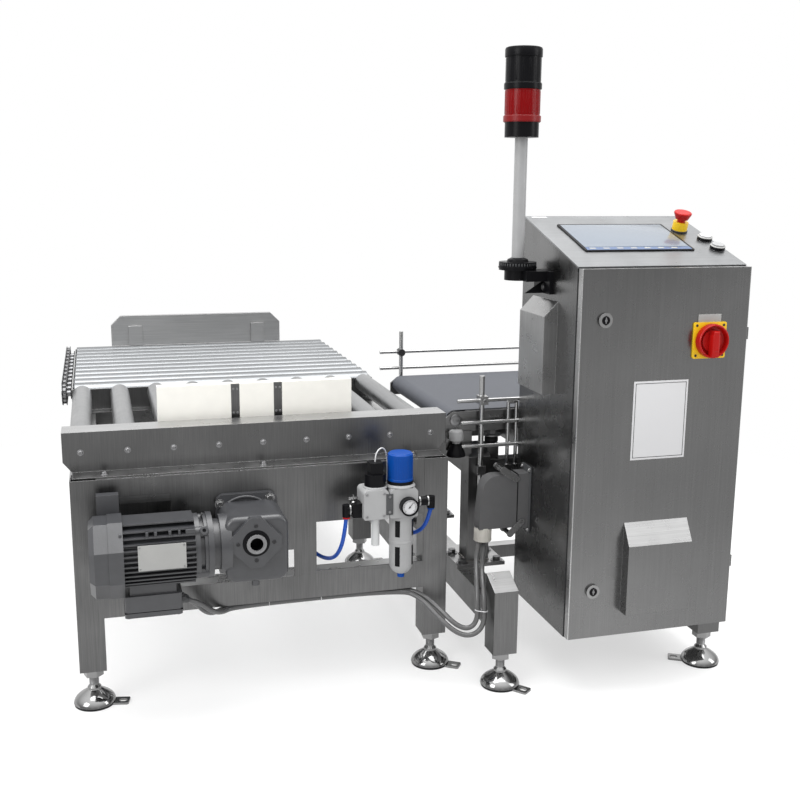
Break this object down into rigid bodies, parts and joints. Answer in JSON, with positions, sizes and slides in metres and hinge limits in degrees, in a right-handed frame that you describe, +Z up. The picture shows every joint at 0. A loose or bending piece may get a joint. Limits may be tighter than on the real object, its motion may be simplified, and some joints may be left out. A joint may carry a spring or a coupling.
{
  "type": "checkweigher",
  "caption": "Stainless checkweigher: roller transfer table with pusher, weigh conveyor and a control cabinet with touch screen and signal tower.",
  "frame": {"origin": "centre of the underside of the roller table's front left levelling foot", "axes": "+X along the front towards the cabinet, +Y away from the operator, +Z up"},
  "size_m": [1.3725, 1.5323, 1.254],
  "materials": {
    "stainless": "vertical brushed",
    "zinc_steel": "zinc plated, fine turned",
    "polished_steel": "polished",
    "grey_paint": "satin enamel on cast metal",
    "ivory_plastic": "machined",
    "grey_plastic": "moulded",
    "blue_plastic": "moulded",
    "dark_rubber": "smooth",
    "cable_jacket": "smooth",
    "cast_housing": "grey enamel",
    "black_plastic": "moulded",
    "red_plastic": "moulded",
    "green_plastic": "moulded"
  },
  "bodies": {
    "machine": {"table_frame": "stainless", "front_panel": "stainless", "roller_rails": "stainless", "chains_and_belts": "dark_rubber", "gear_case": "grey_paint", "motor_body": "grey_paint", "pusher_cylinder": "zinc_steel", "end_stop": "stainless", "regulator_body": "grey_plastic", "air_tube_left": "blue_plastic", "air_tube_right": "blue_plastic", "motor_cable_front": "cable_jacket", "motor_cable_back": "cable_jacket", "stand_frame": "stainless", "levelling_feet": "polished_steel", "conveyor_frame": "stainless", "conveyor_belt": "dark_rubber", "load_cell": "cast_housing", "side_guides": "stainless", "cabinet_body": "stainless", "console_panel": "stainless", "touch_screen": "black_plastic", "signal_tower": "black_plastic", "connector_housing": "cast_housing"},
    "drive_shaft": {"output_shaft": "zinc_steel"},
    "pusher": {"pusher_blocks": "ivory_plastic", "pusher_carriage": "zinc_steel"},
    "door": {"cabinet_door": "stainless", "mains_switch_plate": "black_plastic"},
    "main_roller_1": {"main_roller_1": "zinc_steel"},
    "main_roller_2": {"main_roller_2": "zinc_steel"},
    "main_roller_3": {"main_roller_3": "zinc_steel"},
    "main_roller_4": {"main_roller_4": "zinc_steel"},
    "main_roller_5": {"main_roller_5": "zinc_steel"},
    "main_roller_6": {"main_roller_6": "zinc_steel"},
    "main_roller_7": {"main_roller_7": "zinc_steel"},
    "main_roller_8": {"main_roller_8": "zinc_steel"},
    "main_roller_9": {"main_roller_9": "zinc_steel"},
    "bank_roller_1": {"bank_roller_1": "zinc_steel"},
    "bank_roller_2": {"bank_roller_2": "zinc_steel"},
    "bank_roller_3": {"bank_roller_3": "zinc_steel"},
    "bank_roller_4": {"bank_roller_4": "zinc_steel"},
    "bank_roller_5": {"bank_roller_5": "zinc_steel"},
    "bank_roller_6": {"bank_roller_6": "zinc_steel"},
    "bank_roller_7": {"bank_roller_7": "zinc_steel"},
    "bank_roller_8": {"bank_roller_8": "zinc_steel"},
    "bank_roller_9": {"bank_roller_9": "zinc_steel"},
    "bank_roller_10": {"bank_roller_10": "zinc_steel"},
    "bank_roller_11": {"bank_roller_11": "zinc_steel"},
    "tail_pulley": {"tail_pulley": "zinc_steel"},
    "drive_pulley": {"drive_pulley": "zinc_steel"},
    "regulator_knob": {"regulator_knob": "blue_plastic"},
    "door_lock_upper": {"door_lock_upper": "polished_steel"},
    "door_lock_lower": {"door_lock_lower": "polished_steel"},
    "mains_switch_knob": {"mains_switch_knob": "red_plastic"},
    "emergency_stop": {"emergency_stop": "red_plastic"},
    "start_button": {"start_button": "green_plastic"},
    "stop_button": {"stop_button": "red_plastic"},
    "connector_lever_upper": {"connector_lever_upper": "polished_steel"},
    "connector_lever_lower": {"connector_lever_lower": "polished_steel"}
  },
  "joints": [
    {"name": "shaft_turn", "type": "hinge", "parent": "machine", "child": "drive_shaft", "pos_m": [0.299, 0, 0.352], "axis": [0, 1, 0], "continuous": true},
    {"name": "main_roller_1_turn", "type": "hinge", "parent": "machine", "child": "main_roller_1", "pos_m": [-0.0035, 0.3, 0.496], "axis": [0, 1, 0], "continuous": true},
    {"name": "main_roller_2_turn", "type": "hinge", "parent": "machine", "child": "main_roller_2", "pos_m": [0.083, 0.3, 0.496], "axis": [0, 1, 0], "continuous": true},
    {"name": "main_roller_3_turn", "type": "hinge", "parent": "machine", "child": "main_roller_3", "pos_m": [0.1695, 0.3, 0.496], "axis": [0, 1, 0], "continuous": true},
    {"name": "main_roller_4_turn", "type": "hinge", "parent": "machine", "child": "main_roller_4", "pos_m": [0.256, 0.3, 0.496], "axis": [0, 1, 0], "continuous": true},
    {"name": "main_roller_5_turn", "type": "hinge", "parent": "machine", "child": "main_roller_5", "pos_m": [0.3425, 0.3, 0.496], "axis": [0, 1, 0], "continuous": true},
    {"name": "main_roller_6_turn", "type": "hinge", "parent": "machine", "child": "main_roller_6", "pos_m": [0.429, 0.3, 0.496], "axis": [0, 1, 0], "continuous": true},
    {"name": "main_roller_7_turn", "type": "hinge", "parent": "machine", "child": "main_roller_7", "pos_m": [0.5155, 0.3, 0.496], "axis": [0, 1, 0], "continuous": true},
    {"name": "main_roller_8_turn", "type": "hinge", "parent": "machine", "child": "main_roller_8", "pos_m": [0.602, 0.3, 0.496], "axis": [0, 1, 0], "continuous": true},
    {"name": "main_roller_9_turn", "type": "hinge", "parent": "machine", "child": "main_roller_9", "pos_m": [0.6885, 0.3, 0.496], "axis": [0, 1, 0], "continuous": true},
    {"name": "bank_roller_1_turn", "type": "hinge", "parent": "machine", "child": "bank_roller_1", "pos_m": [0.342, 0.643, 0.493], "axis": [1, 0, 0], "continuous": true},
    {"name": "bank_roller_2_turn", "type": "hinge", "parent": "machine", "child": "bank_roller_2", "pos_m": [0.342, 0.701, 0.493], "axis": [1, 0, 0], "continuous": true},
    {"name": "bank_roller_3_turn", "type": "hinge", "parent": "machine", "child": "bank_roller_3", "pos_m": [0.342, 0.759, 0.493], "axis": [1, 0, 0], "continuous": true},
    {"name": "bank_roller_4_turn", "type": "hinge", "parent": "machine", "child": "bank_roller_4", "pos_m": [0.342, 0.817, 0.493], "axis": [1, 0, 0], "continuous": true},
    {"name": "bank_roller_5_turn", "type": "hinge", "parent": "machine", "child": "bank_roller_5", "pos_m": [0.342, 0.875, 0.493], "axis": [1, 0, 0], "continuous": true},
    {"name": "bank_roller_6_turn", "type": "hinge", "parent": "machine", "child": "bank_roller_6", "pos_m": [0.342, 0.933, 0.493], "axis": [1, 0, 0], "continuous": true},
    {"name": "bank_roller_7_turn", "type": "hinge", "parent": "machine", "child": "bank_roller_7", "pos_m": [0.342, 0.991, 0.493], "axis": [1, 0, 0], "continuous": true},
    {"name": "bank_roller_8_turn", "type": "hinge", "parent": "machine", "child": "bank_roller_8", "pos_m": [0.342, 1.049, 0.493], "axis": [1, 0, 0], "continuous": true},
    {"name": "bank_roller_9_turn", "type": "hinge", "parent": "machine", "child": "bank_roller_9", "pos_m": [0.342, 1.107, 0.493], "axis": [1, 0, 0], "continuous": true},
    {"name": "bank_roller_10_turn", "type": "hinge", "parent": "machine", "child": "bank_roller_10", "pos_m": [0.342, 1.165, 0.493], "axis": [1, 0, 0], "continuous": true},
    {"name": "bank_roller_11_turn", "type": "hinge", "parent": "machine", "child": "bank_roller_11", "pos_m": [0.342, 1.223, 0.493], "axis": [1, 0, 0], "continuous": true},
    {"name": "tail_pulley_turn", "type": "hinge", "parent": "machine", "child": "tail_pulley", "pos_m": [0.7637, 0.305, 0.5043], "axis": [0, 1, 0], "continuous": true},
    {"name": "drive_pulley_turn", "type": "hinge", "parent": "machine", "child": "drive_pulley", "pos_m": [1.2953, 0.305, 0.5043], "axis": [0, 1, 0], "continuous": true},
    {"name": "pusher_stroke", "type": "slide", "parent": "machine", "child": "pusher", "axis": [0, 1, 0], "range_m": [0, 0.425]},
    {"name": "regulator_knob_turn", "type": "hinge", "parent": "machine", "child": "regulator_knob", "pos_m": [0.5915, -0.085, 0.46], "axis": [0, 0, 1], "range_deg": [-360, 360]},
    {"name": "door_swing", "type": "hinge", "parent": "machine", "child": "door", "pos_m": [1.2565, -0.203, 0.48], "axis": [0, 0, 1], "range_deg": [0, 115]},
    {"name": "door_lock_upper_turn", "type": "hinge", "parent": "door", "child": "door_lock_upper", "pos_m": [0.945, -0.222, 0.752], "axis": [0, 1, 0], "range_deg": [0, 90]},
    {"name": "door_lock_lower_turn", "type": "hinge", "parent": "door", "child": "door_lock_lower", "pos_m": [0.945, -0.222, 0.219], "axis": [0, 1, 0], "range_deg": [0, 90]},
    {"name": "mains_switch_knob_turn", "type": "hinge", "parent": "door", "child": "mains_switch_knob", "pos_m": [1.1665, -0.222, 0.708], "axis": [0, 1, 0], "range_deg": [0, 90]},
    {"name": "emergency_stop_press", "type": "slide", "parent": "machine", "child": "emergency_stop", "axis": [0, 0.3053, -0.9523], "range_m": [0, 0.006], "stiffness_N_per_m": 2500},
    {"name": "start_button_press", "type": "slide", "parent": "machine", "child": "start_button", "axis": [0, 0.3053, -0.9523], "range_m": [0, 0.004], "stiffness_N_per_m": 900},
    {"name": "stop_button_press", "type": "slide", "parent": "machine", "child": "stop_button", "axis": [0, 0.3053, -0.9523], "range_m": [0, 0.004], "stiffness_N_per_m": 900},
    {"name": "connector_lever_upper_swing", "type": "hinge", "parent": "machine", "child": "connector_lever_upper", "pos_m": [0.864, 0.0025, 0.396], "axis": [0, 1, 0], "range_deg": [0, 60]},
    {"name": "connector_lever_lower_swing", "type": "hinge", "parent": "machine", "child": "connector_lever_lower", "pos_m": [0.878, 0.0025, 0.302], "axis": [0, -1, 0], "range_deg": [0, 50]}
  ],
  "couplings": [
    {"joint": "main_roller_1_turn", "follows": "shaft_turn", "ratio": 0.9},
    {"joint": "main_roller_2_turn", "follows": "shaft_turn", "ratio": 0.9},
    {"joint": "main_roller_3_turn", "follows": "shaft_turn", "ratio": 0.9},
    {"joint": "main_roller_4_turn", "follows": "shaft_turn", "ratio": 0.9},
    {"joint": "main_roller_5_turn", "follows": "shaft_turn", "ratio": 0.9},
    {"joint": "main_roller_6_turn", "follows": "shaft_turn", "ratio": 0.9},
    {"joint": "main_roller_7_turn", "follows": "shaft_turn", "ratio": 0.9},
    {"joint": "main_roller_8_turn", "follows": "shaft_turn", "ratio": 0.9},
    {"joint": "main_roller_9_turn", "follows": "shaft_turn", "ratio": 0.9},
    {"joint": "bank_roller_2_turn", "follows": "bank_roller_1_turn", "ratio": 1},
    {"joint": "bank_roller_3_turn", "follows": "bank_roller_1_turn", "ratio": 1},
    {"joint": "bank_roller_4_turn", "follows": "bank_roller_1_turn", "ratio": 1},
    {"joint": "bank_roller_5_turn", "follows": "bank_roller_1_turn", "ratio": 1},
    {"joint": "bank_roller_6_turn", "follows": "bank_roller_1_turn", "ratio": 1},
    {"joint": "bank_roller_7_turn", "follows": "bank_roller_1_turn", "ratio": 1},
    {"joint": "bank_roller_8_turn", "follows": "bank_roller_1_turn", "ratio": 1},
    {"joint": "bank_roller_9_turn", "follows": "bank_roller_1_turn", "ratio": 1},
    {"joint": "bank_roller_10_turn", "follows": "bank_roller_1_turn", "ratio": 1},
    {"joint": "bank_roller_11_turn", "follows": "bank_roller_1_turn", "ratio": 1},
    {"joint": "tail_pulley_turn", "follows": "drive_pulley_turn", "ratio": 1}
  ]
}
